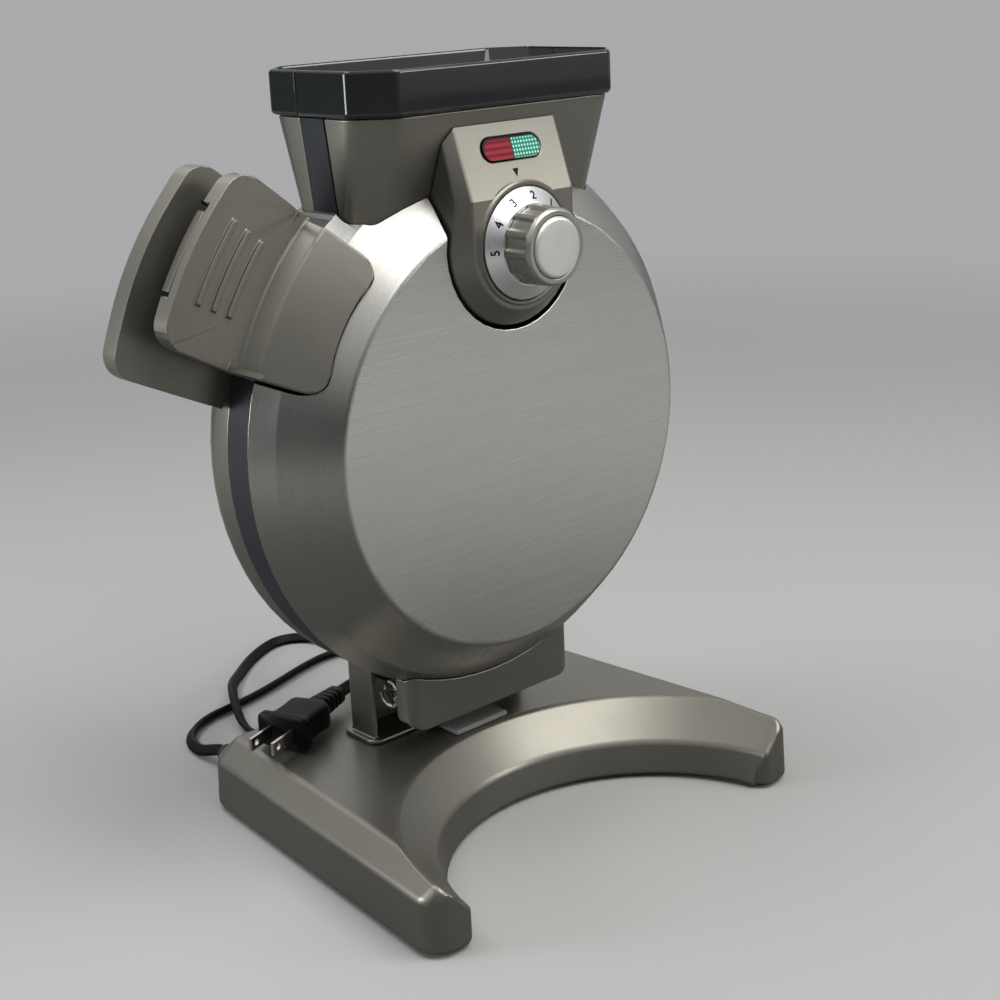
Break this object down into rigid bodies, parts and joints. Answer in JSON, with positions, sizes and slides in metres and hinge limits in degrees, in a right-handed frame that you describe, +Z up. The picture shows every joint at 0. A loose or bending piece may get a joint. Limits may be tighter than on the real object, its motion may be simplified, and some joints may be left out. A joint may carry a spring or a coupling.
{
  "type": "vertical waffle maker",
  "caption": "Upright round waffle maker with a batter spout on top, a front lid that drops open on a hinge, a browning dial, side handles with a latch and a horseshoe base.",
  "frame": {"origin": "on the worktop, under the middle of the machine's bounding box with the cord and plug left out", "axes": "+Z up; -Y is the front with the dial; +X is to the right for the user, so the handles are on -X"},
  "size_m": [0.3071, 0.3443, 0.36],
  "materials": {
    "taupe_paint": "metallic taupe, satin",
    "taupe_plastic": "metallic taupe, satin",
    "brushed_cover": "horizontally brushed stainless sheet",
    "gloss_black": "high gloss black",
    "dark_band": "satin bluish black",
    "coated_plate": "dark non-stick coating on a cast aluminium plate",
    "element_sheath": "dull heater sheath",
    "dial_silver": "silver metallised",
    "cap_satin": "satin champagne silver",
    "grip_grey": "satin grey",
    "lens_red": "translucent red",
    "lens_green": "translucent green",
    "pin_steel": "bright",
    "spring_steel": "bright spring wire",
    "rubber_black": "matte",
    "pad_grey": "matte light grey",
    "cord_black": "satin black cord sheath",
    "blade_nickel": "nickel plated",
    "bakelite": "matte brown moulding"
  },
  "bodies": {
    "stand": {"base_shell": "taupe_plastic", "base_tray": "dark_band", "foot_front_left": "rubber_black", "foot_front_right": "rubber_black", "foot_rear_left": "rubber_black", "foot_rear_right": "rubber_black", "pedestal": "taupe_paint", "lid_rest_pad": "pad_grey", "hinge_pin_left": "pin_steel", "hinge_pin_right": "pin_steel", "hinge_spring_left": "spring_steel", "hinge_spring_right": "spring_steel", "rear_housing": "taupe_plastic", "rear_frame": "dark_band", "rear_plate": "coated_plate", "rear_heating_element": "element_sheath", "rear_spout": "taupe_plastic", "rear_spout_rim": "gloss_black", "rear_handle": "taupe_plastic", "cord_gland": "rubber_black", "cord": "cord_black", "plug_body": "cord_black", "plug_blade_left": "blade_nickel", "plug_blade_right": "blade_nickel"},
    "lid": {"front_cover": "brushed_cover", "front_frame": "dark_band", "front_plate": "coated_plate", "front_heating_element": "element_sheath", "front_spout": "taupe_plastic", "front_spout_rim": "gloss_black", "control_pod": "taupe_plastic", "lamp_red": "lens_red", "lamp_green": "lens_green", "thermostat": "bakelite", "front_handle": "taupe_plastic", "latch_pin": "pin_steel", "lid_arm": "taupe_paint"},
    "dial": {"dial_ring": "dial_silver", "knob": "grip_grey", "knob_cap": "cap_satin", "dial_shaft": "pin_steel"},
    "latch": {"handle_latch": "taupe_plastic"}
  },
  "joints": [
    {"name": "lid_hinge", "type": "hinge", "parent": "stand", "child": "lid", "pos_m": [0.02342, 0.01425, 0.067], "axis": [1, 0, 0], "range_deg": [0, 86]},
    {"name": "dial_turn", "type": "hinge", "parent": "lid", "child": "dial", "pos_m": [0.02342, -0.04025, 0.2822], "axis": [0, -1, 0], "range_deg": [-92, 41]},
    {"name": "latch_lever", "type": "hinge", "parent": "lid", "child": "latch", "pos_m": [-0.10174, 0.00705, 0.28202], "axis": [0.5664, 0, 0.8241], "range_deg": [0, 11], "stiffness_Nm_per_rad": 0.25, "springref_deg": -6.88}
  ]
}
